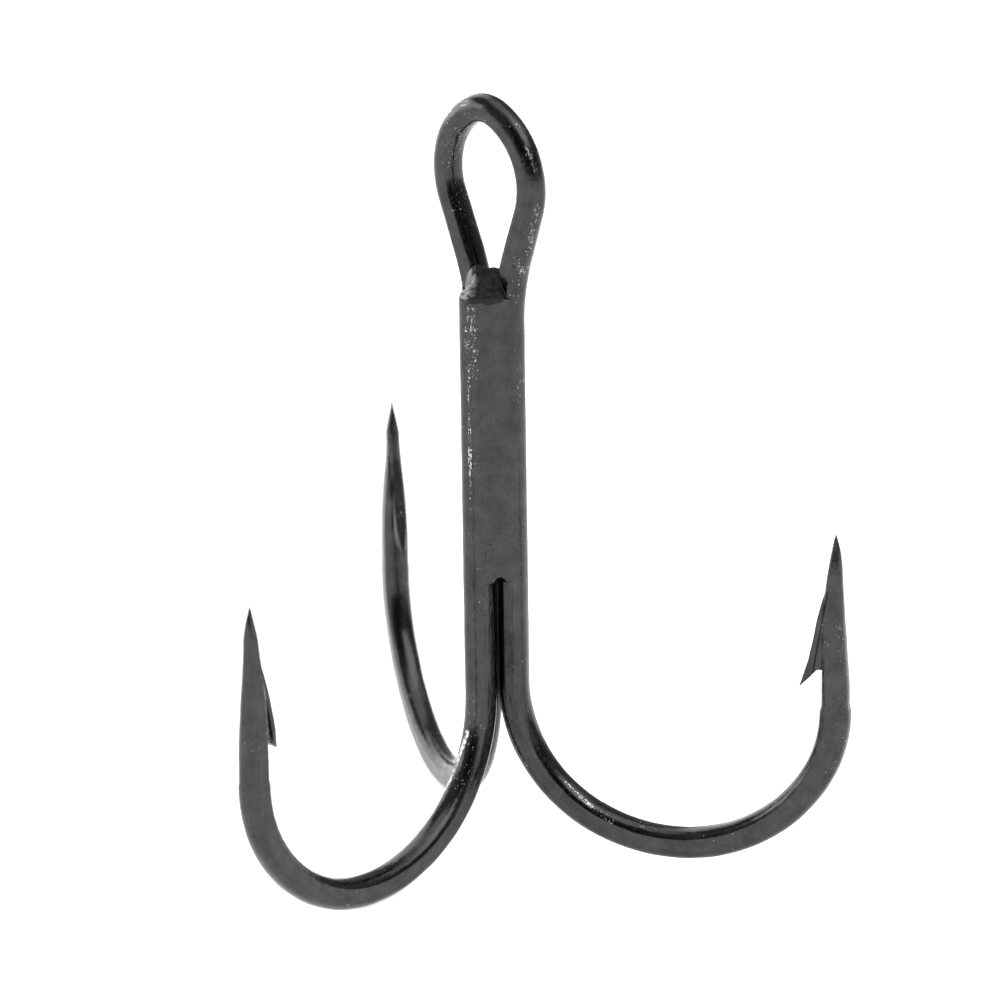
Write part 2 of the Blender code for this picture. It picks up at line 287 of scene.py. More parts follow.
def between(first, second, share):
    vectors = [first[i].lerp(second[i], share) for i in range(3)]
    sizes = [first[i] + (second[i] - first[i]) * share for i in range(3, 6)]
    return vectors[0], vectors[1].normalized(), vectors[2].normalized(), *sizes


def shank_stations(start, end):
    steps = round((start[0] - end[0]).length / RING_SPACING)
    return [between(start, end, step / steps) for step in range(1, steps)]


def wire_feet():
    right = Vector((AXIS_X + EYE_SHANK_HALF, 0, 0))
    rear = Vector((AXIS_X - EYE_SHANK_HALF, 0, 0))
    axis = Vector((AXIS_X, AXIS_Y, 0))
    return right, rear, axis + radial(SINGLE_AZIMUTH) * WIRE_TO_AXIS


def new_object(name, points, faces):
    mesh = bpy.data.meshes.new(name)
    mesh.from_pydata([tuple(point * MM) for point in points], [], faces)
    mesh.update()
    obj = bpy.data.objects.new(name, mesh)
    bpy.context.scene.collection.objects.link(obj)
    return obj


def skin(name, stations):
    """A closed skin over the sections, each end closed by a fan.

    Returns it with each point's place on the wire: deep, aside, edge and length along it.
    """
    points = []
    places = []
    count = len(SECTION_ANGLES)
    length = 0.0
    for ring, station in enumerate(stations):
        if ring:
            length += (station[0] - stations[ring - 1][0]).length
        for angle in SECTION_ANGLES:
            point, place = section_point(station, angle)
            points.append(point)
            places.append((*place, length))
    faces = []
    for ring in range(len(stations) - 1):
        base = ring * count
        for step in range(count):
            after = (step + 1) % count
            faces.append((base + step, base + after, base + count + after, base + count + step))
    for ring, flip in ((0, False), (len(stations) - 1, True)):
        base = ring * count
        points.append(stations[ring][0].copy())
        places.append((0.0, 0.0, 0.0, 0.0))
        for step in range(count):
            first, second = base + step, base + (step + 1) % count
            faces.append((len(points) - 1, first, second) if flip else (len(points) - 1, second, first))
    obj = new_object(name, points, faces)
    outward_faces(obj)
    return obj, points, places


def outward_faces(obj, triangles=False):
    shell = bmesh.new()
    shell.from_mesh(obj.data)
    bmesh.ops.recalc_face_normals(shell, faces=shell.faces)
    if triangles:
        bmesh.ops.triangulate(shell, faces=shell.faces)
    shell.to_mesh(obj.data)
    shell.free()


def barb(name, point, tip):
    """The lifted sliver, as a wedge between two mirrored outlines."""
    apex, inward, across = point
    outline = list(BARB_OUTLINE)
    outline[BARB_TIP] = tip
    count = len(outline)
    points = []
    for side in (-1, 1):
        for below, off, half in outline:
            points.append(apex + inward * off - Vector((0, 0, below)) + across * (side * half))
    faces = []
    for step in range(count):
        after = (step + 1) % count
        faces.append((step, after, count + after, count + step))
    faces.append(tuple(range(count))[::-1])
    faces.append(tuple(range(count, 2 * count)))
    obj = new_object(name, points, faces)
    outward_faces(obj, triangles=True)
    return obj


def barb_cut(point):
    """The narrow groove that the cutting tool leaves on each side between barb and limb."""
    apex, inward, across = point
    points = []
    faces = []
    for side in (-1, 1):
        base = len(points)
        for below, off, width in BARB_CUT:
            for shift in (-width / 2, width / 2):
                for depth in BARB_CUT_DEPTHS:
                    place = apex + inward * (off + shift) - Vector((0, 0, below))
                    points.append(place + across * (side * depth))
        box = ((0, 1, 3, 2), (4, 6, 7, 5), (0, 4, 5, 1), (2, 3, 7, 6), (0, 2, 6, 4), (1, 5, 7, 3))
        faces += [tuple(base + corner for corner in face) for face in box]
    obj = new_object("barb_cut", points, faces)
    outward_faces(obj, triangles=True)
    return obj


def applied(obj):
    """The object's mesh with its modifiers worked in."""
    graph = bpy.context.evaluated_depsgraph_get()
    mesh = bpy.data.meshes.new_from_object(obj.evaluated_get(graph))
    obj.modifiers.clear()
    obj.data = mesh
    return obj


def joined(obj, others, cutters):
    steps = [(other, "UNION") for other in others]
    steps += [(cutter, "DIFFERENCE") for cutter in cutters]
    for other, operation in steps:
        modifier = obj.modifiers.new("join", "BOOLEAN")
        modifier.operation = operation
        modifier.solver = "EXACT"
        modifier.object = other
    applied(obj)
    for other, _ in steps:
        bpy.data.objects.remove(other, do_unlink=True)
    return obj


def store_places(obj, places, points=None):
    """Keeps each vertex's place on the wire for the plating: one for all, or the nearest point's."""
    mesh = obj.data
    if points is None:
        rows = [places] * len(mesh.vertices)
    else:
        tree = kdtree.KDTree(len(points))
        for index, point in enumerate(points):
            tree.insert(point, index)
        tree.balance()
        rows = [places[tree.find(vertex.co / MM)[1]] for vertex in mesh.vertices]
    table = np.array(rows, np.float32)
    section = mesh.attributes.new("section", "FLOAT_VECTOR", "POINT")
    section.data.foreach_set("vector", table[:, [0, 1, 3]].ravel())
    edge = mesh.attributes.new("pressed_edge", "FLOAT", "POINT")
    edge.data.foreach_set("value", table[:, 2])


def weather(obj, coarse, fine):
    """Slight unevenness of forged wire: the skin moves along its normals by a seeded noise."""
    mesh = obj.data
    normals = [vertex.normal.copy() for vertex in mesh.vertices]
    for vertex, normal in zip(mesh.vertices, normals):
        place = vertex.co / MM
        shift = coarse * noise.noise(place * 0.9) + fine * noise.noise(place * 3.7)
        vertex.co += normal * (shift * MM)


def finish_metal(obj, material, node):
    obj.data.materials.clear()
    obj.data.materials.append(material)
    obj.data.shade_smooth()
    obj.data.set_sharp_from_angle(angle=math.radians(38))
    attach(obj, "root")
    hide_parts(node)


def build_wires(material):
    right_foot, rear_foot, single_foot = wire_feet()
    right, right_point = hook_stations(right_foot, RIGHT_AZIMUTH, RIGHT_RISE, -1)
    rear, rear_point = hook_stations(rear_foot, REAR_AZIMUTH, REAR_RISE, 1)
    eye = eye_stations()
    stations = right[::-1] + shank_stations(right[0], eye[0]) + eye
    stations += shank_stations(eye[-1], rear[0]) + rear
    wire, points, places = skin("forged_wire_with_eye", stations)
    barbs = [
        barb("right_barb", right_point, RIGHT_BARB_TIP),
        barb("rear_barb", rear_point, REAR_BARB_TIP),
    ]
    joined(wire, barbs, [barb_cut(right_point), barb_cut(rear_point)])
    store_places(wire, places, points)
    weather(wire, 0.010, 0.0035)
    finish_metal(wire, material, "eyed_double_hook")
    bend, point = hook_stations(single_foot, SINGLE_AZIMUTH, SINGLE_RISE, 1)
    top = (Vector((single_foot.x, single_foot.y, SINGLE_TOP_Z)), *bend[0][1:])
    shoulder = (Vector((single_foot.x, single_foot.y, SINGLE_TOP_Z - CROP_CHAMFER)), *bend[0][1:])
    cropped = (*top[:3], *(size - CROP_CHAMFER for size in top[3:]))
    lone, points, places = skin(
        "forged_single_wire", [cropped, shoulder] + shank_stations(shoulder, bend[0]) + bend
    )
    joined(lone, [barb("single_barb", point, SINGLE_BARB_TIP)], [barb_cut(point)])
    store_places(lone, places, points)
    weather(lone, 0.010, 0.0035)
    finish_metal(lone, material, "single_hook")
    right_shank = [right[0]] + shank_stations(right[0], eye[0]) + eye[:26]
    rear_shank = [rear[0]] + shank_stations(eye[-1], rear[0])[::-1] + eye[:-26:-1]
    single_shank = [bend[0]] + shank_stations(shoulder, bend[0])[::-1] + [shoulder, top]
    return right_shank, rear_shank, single_shank


# ---------------------------------------------------------------- braze

FRONT_SEAM_END_Z = -19.75
SIDE_SEAM_END_Z = -20.25
REAR_SEAM_END_Z = -19.95
SEAM_TOP_Z = -7.20
SEAM_RING = 0.16
SEAM_FLANK_STEPS = 10
SEAM_FACE_STEPS = 14
SEAM_OVERLAP = 0.02
SEAM_PROUD = 0.006
SEAM_ROUNDING = 0.34
SEAM_SINK = 0.11
MENISCUS_RISE = 0.25
MENISCUS_NARROWING = 3.0


def polar_point(station, direction, grow):
    """Where a level ray from the wire's centre leaves its section."""
    centre, inward, across, near, far, wide = station
    along = direction.dot(inward)
    aside = abs(direction.dot(across))
    deep = near if along > 0 else far
    swollen = wide * SIDE_SWELL
    reach = (abs(along / deep) ** ROUNDNESS + (aside / swollen) ** ROUNDNESS) ** (-1 / ROUNDNESS)
    if reach * aside > wide:
        reach = wide / aside
    return centre + direction * (reach + grow)


def plan_turn(direction, angle):
    x = direction.x * math.cos(angle) - direction.y * math.sin(angle)
    y = direction.x * math.sin(angle) + direction.y * math.cos(angle)
    return Vector((x, y, 0))


def touching_angle(station, start, out):
    """How far to turn from the start direction to the skin point that lies furthest out."""
    best = max(
        range(-170, 171, 2),
        key=lambda turn: polar_point(station, plan_turn(start, math.radians(turn)), 0).dot(out),
    )
    return math.radians(best)


def at_level(shank, level):
    """The section of a shank, given from bottom to top, at one height."""
    for lower, upper in zip(shank, shank[1:]):
        if lower[0].z <= level <= upper[0].z:
            return between(lower, upper, (level - lower[0].z) / (upper[0].z - lower[0].z))
    return shank[-1] if level > shank[-1][0].z else shank[0]


def seam_loop(first, second, out, dip, sink):
    """One level loop of braze: the axis, one wire's flank, the face, the other wire's flank."""
    level = first[0].z
    axis = Vector((AXIS_X, AXIS_Y, level))
    flanks = []
    for wire in (first, second):
        inner = (axis - wire[0]).normalized()
        sweep = touching_angle(wire, inner, out)
        flank = []
        for step in range(SEAM_FLANK_STEPS + 1):
            grow = SEAM_PROUD if step == SEAM_FLANK_STEPS else -SEAM_OVERLAP
            turned = plan_turn(inner, sweep * step / SEAM_FLANK_STEPS)
            flank.append(polar_point(wire, turned, grow))
        flank[-1] -= out * sink
        flanks.append(flank)
    face = []
    for step in range(1, SEAM_FACE_STEPS):
        share = step / SEAM_FACE_STEPS
        ripple = 0.010 * noise.noise(Vector((level * 1.3, share * 2.0, out.x * 7)))
        lowered = dip * math.sin(math.pi * share) - ripple
        face.append(flanks[0][-1].lerp(flanks[1][-1], share) - out * lowered)
    return [axis, *flanks[0], *face, *flanks[1][::-1]]


def braze_seam(name, first_shank, second_shank, end_z, dip):
    levels = [end_z + SEAM_ROUNDING * share for share in (0, 0.06, 0.2, 0.4, 0.7, 1.0)]
    steps = round((SEAM_TOP_Z - levels[-1]) / SEAM_RING)
    levels += [levels[-1] + (SEAM_TOP_Z - levels[-1]) * step / steps for step in range(1, steps + 1)]
    points = []
    for level in levels:
        first = at_level(first_shank, level)
        second = at_level(second_shank, level)
        chord = (second[0] - first[0]).normalized()
        out = Vector((chord.y, -chord.x, 0))
        if out.dot(first[0] - Vector((AXIS_X, AXIS_Y, level))) < 0:
            out = -out
        into = max(0.0, 1 - (level - end_z) / SEAM_ROUNDING)
        sink = SEAM_SINK * (1 - math.sqrt(1 - into * into))
        loop = seam_loop(first, second, out, dip, sink)
        middle = (first[0] + second[0]) / 2
        half = (second[0] - first[0]).length / 2
        fade = max(0.0, 1 - (level - end_z) / 0.5)
        for point in loop:
            across = (point - middle).dot(chord) / half
            arch = math.sqrt(max(0.0, 1 - (across * MENISCUS_NARROWING) ** 2))
            hollow = MENISCUS_RISE * arch * fade
            points.append(point + Vector((0, 0, hollow)))
    count = len(points) // len(levels)
    faces = []
    for ring in range(len(levels) - 1):
        base = ring * count
        for step in range(count):
            after = (step + 1) % count
            faces.append((base + step, base + after, base + count + after, base + count + step))
    for base in (0, len(points) - count):
        middle = sum(points[base:base + count], Vector()) / count
        points.append(middle)
        for step in range(count):
            faces.append((len(points) - 1, base + step, base + (step + 1) % count))
    obj = new_object(name, points, faces)
    outward_faces(obj)
    store_places(obj, (0.0, 0.9, 0.1, 0.0))
    return obj


def build_seams(material, right, rear, single):
    for name, node, first, second, end_z, dip in (
        ("front_braze", "braze_front_seam", single, right, FRONT_SEAM_END_Z, 0.0),
        ("side_braze", "braze_side_seam", single, rear, SIDE_SEAM_END_Z, 0.07),
        ("rear_braze", "braze_rear_seam", rear, right, REAR_SEAM_END_Z, 0.09),
    ):
        seam = braze_seam(name, first, second, end_z, dip)
        finish_metal(seam, material, node)


# Lumps of the braze that ran over the cropped wire into the throat of the eye:
# centre and half sizes.
THROAT_LUMPS = (
    ((0.20, -1.36, -7.08), (0.40, 0.50, 0.20)),
    ((0.62, -1.38, -7.10), (0.50, 0.62, 0.29)),
    ((0.98, -1.04, -7.13), (0.44, 0.54, 0.36)),
    ((1.18, -0.74, -7.12), (0.38, 0.36, 0.38)),
    ((0.50, -1.08, -6.96), (0.62, 0.56, 0.38)),
    ((0.50, -0.84, -6.80), (0.62, 0.46, 0.46)),
    ((0.37, -0.10, -6.74), (0.58, 0.64, 0.54)),
    ((0.92, -0.60, -6.80), (0.36, 0.32, 0.50)),
    ((0.08, -0.70, -6.76), (0.32, 0.30, 0.46)),
    ((-0.40, -0.27, -7.45), (0.50, 0.58, 1.30)),
)
THROAT_VOXEL = 0.026
THROAT_SMOOTHING = 60
THROAT_WIRE_SHRINK = 0.02
THROAT_LUMPINESS = 0.045
THROAT_GRAIN = 0.010
SMOOTH_LIMIT = -0.62
SMOOTH_SPREAD = 0.46


def outside(point, shank):
    """How far a point lies outside one wire, at its own level."""
    station = at_level(shank, point.z)
    away = Vector((point.x - station[0].x, point.y - station[0].y, 0))
    if away.length < 0.05:
        return -1.0
    direction = away.normalized()
    foot = Vector((station[0].x, station[0].y, 0))
    surface = polar_point(station, direction, 0)
    return away.length - (Vector((surface.x, surface.y, 0)) - foot).length


def shrunk(station):
    return (*station[:3], *(size - THROAT_WIRE_SHRINK for size in station[3:]))


def rough_share(place):
    """The braze froze rough in the middle of the throat and ran out smoothly up the rear limb."""
    border = SMOOTH_LIMIT - SMOOTH_SPREAD * max(0.0, min(1.0, (-6.90 - place.z) / 0.24))
    from_left = (0.72 * place.x + 0.70 * place.y - border) / 0.10
    return max(0.0, min(1.0, from_left))


def build_throat(material, right, rear, single):
    """The wires' skins and the lumps run together under one skin, which rounds their corners."""
    blob = bmesh.new()
    for centre, size in THROAT_LUMPS:
        made = bmesh.ops.create_icosphere(blob, subdivisions=4, radius=1.0)["verts"]
        for vertex in made:
            spread = [vertex.co[axis] * size[axis] + centre[axis] for axis in range(3)]
            vertex.co = Vector(spread) * MM
    for shank in (right, rear, single):
        near = [shrunk(station) for station in shank if -8.4 < station[0].z < -5.6]
        piece = skin("throat_core", near)[0]
        blob.from_mesh(piece.data)
        bpy.data.objects.remove(piece, do_unlink=True)
    mesh = bpy.data.meshes.new("throat_braze")
    blob.to_mesh(mesh)
    blob.free()
    obj = bpy.data.objects.new("throat_braze", mesh)
    bpy.context.scene.collection.objects.link(obj)
    remesh = obj.modifiers.new("one_skin", "REMESH")
    remesh.mode = "VOXEL"
    remesh.voxel_size = THROAT_VOXEL * MM
    smooth = obj.modifiers.new("run_together", "SMOOTH")
    smooth.factor = 0.7
    smooth.iterations = THROAT_SMOOTHING
    applied(obj)
    mesh = obj.data
    normals = [vertex.normal.copy() for vertex in mesh.vertices]
    for vertex, normal in zip(mesh.vertices, normals):
        place = vertex.co / MM
        clear = min(outside(place, right), outside(place, rear))
        if place.z < SINGLE_TOP_Z:
            clear = min(clear, outside(place, single))
        share = min(1.0, max(0.0, clear / 0.12)) * rough_share(place)
        shift = THROAT_LUMPINESS * noise.noise(place * 2.3) + THROAT_GRAIN * noise.noise(place * 6.1)
        vertex.co += normal * (share * shift * MM)
    store_places(obj, (0.0, 0.5, 0.0, 0.0))
    rough = [rough_share(vertex.co / MM) for vertex in mesh.vertices]
    mesh.attributes["pressed_edge"].data.foreach_set("value", rough)
    finish_metal(obj, material, "braze_throat_bead")


# ---------------------------------------------------------------- materials

NICKEL = 0.046
BRAZE_NICKEL = 0.026
RUN_HIGHLIGHT_NICKEL = 0.095
WORN_AND_HIGHLIGHT_NICKEL = 0.60

# Where the plating is rubbed most, partly real wear and partly painted highlights where the studio's
# highlights fall: centre, half sizes and strength of each patch.
# These places and those of the lines below are marks seen in the photo. A separate helper
# projected them on to the wires and they were rounded by hand, so they don't follow the
# dimensions above and have to be placed again if the hook's shape changes.
RUBBED_AND_HIGHLIGHT_PATCHES = (
    ((0.66, -1.80, -8.6), (0.40, 0.36, 1.9), 0.85),
    ((0.60, -1.88, -13.0), (0.10, 0.18, 5.0), 0.75),
    ((2.00, -0.15, -5.4), (0.34, 0.44, 1.0), 0.85),
    ((-0.15, -2.35, -27.2), (0.34, 0.95, 1.7), 0.60),
    ((-0.95, -0.45, 0.60), (0.85, 0.30, 0.60), 0.45),
    ((-1.50, -0.50, -0.90), (1.10, 0.40, 2.30), 0.26),
)
RUBBED_AND_HIGHLIGHT_FADE = (0.45, 1.25)  # shares of a patch's half size where it starts and ends to fade
# Rubbed lines along the wires, partly real scratches and partly painted highlights on the bends and the eye:
# start, end, half width and strength of each.
RUBBED_AND_HIGHLIGHT_LINES = (
    ((3.45, 0.66, -28.66), (4.10, 0.90, -29.24), 0.07, 1.15),
    ((4.10, 0.90, -29.24), (4.60, 1.06, -29.62), 0.10, 1.35),
    ((4.60, 1.06, -29.62), (5.50, 1.36, -30.14), 0.13, 0.75),
    ((0.40, -2.12, -26.35), (0.25, -2.45, -27.40), 0.10, 1.35),
    ((0.25, -2.45, -27.40), (0.14, -3.40, -29.00), 0.11, 1.35),
    ((-1.00, -0.42, 0.70), (-0.55, -0.46, 0.86), 0.13, 1.15),
    ((-1.95, -0.34, -0.05), (-1.65, -0.36, 0.25), 0.10, 1.15),
    ((2.45, -0.28, -0.42), (2.95, -0.20, -1.45), 0.09, 0.95),
    ((3.05, -0.25, -3.00), (2.45, -0.15, -5.10), 0.15, 0.75),
)
LINE_FADE = (0.6, 1.6)  # shares of a line's half width where it starts and ends to fade
# How each kind of wear mark is stretched round, across and along the wire, and how fine it is.
SPECK_STRETCH = (0.65, 0.59, 0.70)
SPECK_SCALE = 13.0
SCRATCH_STRETCH = (0.65, 0.59, 0.40)
SCRATCH_SCALE = 17.0
SCAR_STRETCH = (0.65, 0.59, 0.13)
SCAR_SCALE = 12.0
MARK_SOFTNESS = 0.05
# Painted shade in the open grooves between the wires, below the ends of the seams, where the deep gap falls
# dark:
# half width, shift and narrowing per millimetre of depth, and where it fades out.
GROOVE_HALF = 0.246
GROOVE_SHIFT = 0.014
GROOVE_NARROWING = 0.01275
GROOVE_EDGE = 0.025
GROOVE_FADE_Z = (-25.1, -24.3)
GROOVE_FACING = (-0.25, -0.05)  # depth behind the wires' chord where the painted shade fades in
GROOVE_SHADE_COLOUR = 0.004


class Shader:
    """A material's node tree, with one short call for each kind of node."""

    def __init__(self, name):
        self.material = bpy.data.materials.new(name)
        self.material.use_nodes = True
        self.tree = self.material.node_tree
        self.surface = self.tree.nodes["Principled BSDF"]
        self.surface.inputs["Metallic"].default_value = 1.0

    def put(self, socket, value):
        if hasattr(value, "is_output"):
            self.tree.links.new(value, socket)
        else:
            socket.default_value = value

    def attribute(self, name, output):
        node = self.tree.nodes.new("ShaderNodeAttribute")
        node.attribute_name = name
        return node.outputs[output]

    def position(self):
        """Place on the object, in millimetres."""
        node = self.tree.nodes.new("ShaderNodeTexCoord")
        return self.vector("MULTIPLY", node.outputs["Object"], (1000, 1000, 1000))

    def vector(self, operation, first, second):
        node = self.tree.nodes.new("ShaderNodeVectorMath")
        node.operation = operation
        self.put(node.inputs[0], first)
        self.put(node.inputs[1], second)
        return node.outputs[0]

    def dot(self, first, second):
        node = self.tree.nodes.new("ShaderNodeVectorMath")
        node.operation = "DOT_PRODUCT"
        self.put(node.inputs[0], first)
        self.put(node.inputs[1], tuple(second))
        return node.outputs["Value"]

    def math(self, operation, first, second=0.0, third=None):
        node = self.tree.nodes.new("ShaderNodeMath")
        node.operation = operation
        self.put(node.inputs[0], first)
        self.put(node.inputs[1], second)
        if third is not None:
            self.put(node.inputs[2], third)
        return node.outputs[0]

    def noise(self, place, scale, detail=2.0, distortion=0.0):
        node = self.tree.nodes.new("ShaderNodeTexNoise")
        self.put(node.inputs["Vector"], place)
        node.inputs["Scale"].default_value = scale
        node.inputs["Detail"].default_value = detail
        node.inputs["Distortion"].default_value = distortion
        return node.outputs["Fac"]

    def remap(self, value, low, high, to_low=0.0, to_high=1.0):
        node = self.tree.nodes.new("ShaderNodeMapRange")
        node.interpolation_type = "SMOOTHSTEP"
        self.put(node.inputs["Value"], value)
        self.put(node.inputs["From Min"], low)
        self.put(node.inputs["From Max"], high)
        self.put(node.inputs["To Min"], to_low)
        self.put(node.inputs["To Max"], to_high)
        return node.outputs[0]

    def mix(self, share, first, second):
        node = self.tree.nodes.new("ShaderNodeMix")
        node.data_type = "FLOAT"
        self.put(node.inputs["Factor"], share)
        self.put(node.inputs["A"], first)
        self.put(node.inputs["B"], second)
        return node.outputs[0]

    def grey(self, value, tint):
        node = self.tree.nodes.new("ShaderNodeCombineColor")
        for channel, weight in zip(("Red", "Green", "Blue"), tint):
            self.put(node.inputs[channel], self.math("MULTIPLY", value, weight))
        return node.outputs[0]

    def bump(self, height, distance, normal=None):
        node = self.tree.nodes.new("ShaderNodeBump")
        node.inputs["Distance"].default_value = distance * MM
        self.put(node.inputs["Height"], height)
        if normal is not None:
            self.tree.links.new(normal, node.inputs["Normal"])
        return node.outputs[0]


def streaks(shader, place, scale, threshold, softness):
    """Ragged marks where a fine noise rises over the threshold."""
    fine = shader.noise(place, scale, 3.0, 0.3)
    return shader.remap(fine, threshold, shader.math("ADD", threshold, softness))


def rubbed_and_highlight_share(shader, place):
    """High inside the rubbed patches and lines, partly real wear and partly painted highlights, fading to 0
    around them.
    """
    total = 0.0
    for centre, size, strength in RUBBED_AND_HIGHLIGHT_PATCHES:
        away = shader.vector("SUBTRACT", place, centre)
        away = shader.vector("MULTIPLY", away, tuple(1 / side for side in size))
        node = shader.tree.nodes.new("ShaderNodeVectorMath")
        node.operation = "LENGTH"
        shader.put(node.inputs[0], away)
        share = shader.remap(node.outputs["Value"], *RUBBED_AND_HIGHLIGHT_FADE, strength, 0.0)
        total = shader.math("MAXIMUM", share, total)
    for start, end, half, strength in RUBBED_AND_HIGHLIGHT_LINES:
        line = Vector(end) - Vector(start)
        away = shader.vector("SUBTRACT", place, start)
        gone = shader.math("DIVIDE", shader.dot(away, line), line.length_squared)
        gone = shader.math("MINIMUM", shader.math("MAXIMUM", gone, 0.0), 1.0)
        node = shader.tree.nodes.new("ShaderNodeVectorMath")
        node.operation = "SCALE"
        node.inputs[0].default_value = line
        shader.put(node.inputs["Scale"], gone)
        length = shader.tree.nodes.new("ShaderNodeVectorMath")
        length.operation = "LENGTH"
        shader.put(length.inputs[0], shader.vector("SUBTRACT", away, node.outputs[0]))
        full, gone_at = (side * half for side in LINE_FADE)
        share = shader.remap(length.outputs["Value"], full, gone_at, strength, 0.0)
        total = shader.math("MAXIMUM", share, total)
    return total


def wear_and_highlight_marks(shader, place, section, edge):
    """Where the plating is rubbed through: small marks on the rounded sides and pressed edges, densest in the
    rubbed patches and lines, where the bright marks are partly painted highlights.
    """
    parts = shader.tree.nodes.new("ShaderNodeSeparateXYZ")
    shader.put(parts.inputs[0], section)
    flat = shader.remap(shader.math("ABSOLUTE", parts.outputs["Y"]), 0.86, 0.985)
    rounded = shader.math("SUBTRACT", 1.0, flat)
    patches = shader.remap(shader.noise(place, 0.42, 4.0), 0.42, 0.66)
    rubbed_and_highlit = rubbed_and_highlight_share(shader, place)
    density = shader.math("MULTIPLY_ADD", rounded, 0.55, 0.10)
    density = shader.math("MULTIPLY_ADD", edge, 0.70, density)
    density = shader.math("MULTIPLY", density, shader.math("MULTIPLY_ADD", patches, 0.85, 0.15))
    density = shader.math("ADD", rubbed_and_highlit, density)
    threshold = shader.math("MULTIPLY_ADD", density, -0.16, 0.76)
    along = shader.vector("MULTIPLY", section, SCRATCH_STRETCH)
    short = shader.vector("MULTIPLY", section, SPECK_STRETCH)
    specks = streaks(shader, short, SPECK_SCALE, threshold, MARK_SOFTNESS)
    scratches = streaks(shader, along, SCRATCH_SCALE, threshold, MARK_SOFTNESS)
    lengthwise = shader.vector("MULTIPLY", section, SCAR_STRETCH)
    scar_threshold = shader.math("MULTIPLY_ADD", rubbed_and_highlit, -0.17, 0.80)
    scars = streaks(shader, lengthwise, SCAR_SCALE, scar_threshold, MARK_SOFTNESS)
    return shader.math("MAXIMUM", shader.math("MAXIMUM", specks, scratches), scars)


def painted_groove_shade(shader, place):
    """Painted shade: 1 in the open groove between each two wires below their seam, with a rounded upper end.
    """
    right, rear, single = wire_feet()
    axis = Vector((AXIS_X, AXIS_Y, 0))
    parts = shader.tree.nodes.new("ShaderNodeSeparateXYZ")
    shader.put(parts.inputs[0], place)
    height = parts.outputs["Z"]
    total = 0.0
    for first, second, end_z in (
        (single, right, FRONT_SEAM_END_Z),
        (single, rear, SIDE_SEAM_END_Z),
        (rear, right, REAR_SEAM_END_Z),
    ):
        chord = (second - first).normalized()
        middle = (first + second) / 2
        out = Vector((chord.y, -chord.x, 0))
        if out.dot(middle - axis) < 0:
            out = -out
        offset = shader.vector("SUBTRACT", place, tuple(middle))
        above = shader.math("SUBTRACT", height, end_z)
        below = shader.math("MULTIPLY", shader.math("MINIMUM", above, 0.0), -GROOVE_NARROWING)
        aside = shader.math("SUBTRACT", shader.dot(offset, chord), below)
        aside = shader.math("ADD", aside, GROOVE_SHIFT)
        above = shader.math("MAXIMUM", above, 0.0)
        square = shader.math("MULTIPLY_ADD", above, above, shader.math("MULTIPLY", aside, aside))
        away = shader.math("ADD", shader.math("SQRT", square), below)
        inside = shader.remap(away, GROOVE_HALF - GROOVE_EDGE, GROOVE_HALF + GROOVE_EDGE, 1.0, 0.0)
        facing = shader.remap(shader.dot(offset, out), *GROOVE_FACING)
        total = shader.math("MAXIMUM", shader.math("MULTIPLY", inside, facing), total)
    return shader.math("MULTIPLY", total, shader.remap(height, *GROOVE_FADE_Z))


def black_nickel():
    """Black nickel over forged steel: mottled, finely grained, rubbed bright along its edges, with painted
    highlights in the rubbed patches and painted shade in the open grooves between the wires.
    """
    shader = Shader("black_nickel")
    place = shader.position()
    section = shader.attribute("section", "Vector")
    edge = shader.attribute("pressed_edge", "Fac")
    # Wear marks, partly real and partly painted highlights from the rubbed patches and lines.
    wear_and_highlight_share = wear_and_highlight_marks(shader, place, section, edge)
    mottle = shader.noise(place, 1.3, 5.0)
    stain = shader.noise(place, 5.5, 3.0, 0.6)
    grain = shader.noise(place, 17.0, 2.0)
    lines = shader.vector("MULTIPLY", section, (0.65, 0.59, 0.09))
    drawn = shader.noise(lines, 11.0, 3.0)
    colour = shader.math("MULTIPLY_ADD", mottle, 0.040, NICKEL - 0.051)
    for part, strength in ((stain, 0.020), (drawn, 0.018), (grain, 0.024)):
        colour = shader.math("MULTIPLY_ADD", part, strength, colour)
    pits = streaks(shader, place, 7.0, 0.69, 0.03)
    colour = shader.mix(shader.math("MULTIPLY", pits, 0.6), colour, 0.012)
    bright = shader.remap(shader.noise(place, 5.0, 1.0), 0.35, 0.65, 0.14, WORN_AND_HIGHLIGHT_NICKEL)
    colour = shader.mix(wear_and_highlight_share, colour, bright)
    # Painted shade: the open grooves between the wires are coloured near black and dull.
    groove_shade = painted_groove_shade(shader, place)
    colour = shader.mix(groove_shade, colour, GROOVE_SHADE_COLOUR)
    shader.put(shader.surface.inputs["Base Color"], shader.grey(colour, (1.0, 1.0, 1.015)))
    roughness = shader.remap(stain, 0.30, 0.75, 0.13, 0.24)
    roughness = shader.math("MULTIPLY_ADD", drawn, 0.06, roughness)
    roughness = shader.mix(wear_and_highlight_share, roughness, 0.36)
    roughness = shader.mix(groove_shade, roughness, 0.5)
    shader.put(shader.surface.inputs["Roughness"], roughness)
    waves = shader.vector("MULTIPLY", section, (0.65, 0.59, 0.30))
    normal = shader.bump(shader.noise(waves, 5.0, 2.0), 0.014)
    normal = shader.bump(shader.noise(place, 7.0, 2.0), 0.004, normal)
    normal = shader.bump(grain, 0.0014, normal)
    normal = shader.bump(pits, -0.006, normal)
    normal = shader.bump(wear_and_highlight_share, 0.004, normal)
    shader.put(shader.surface.inputs["Normal"], normal)
    return shader.material


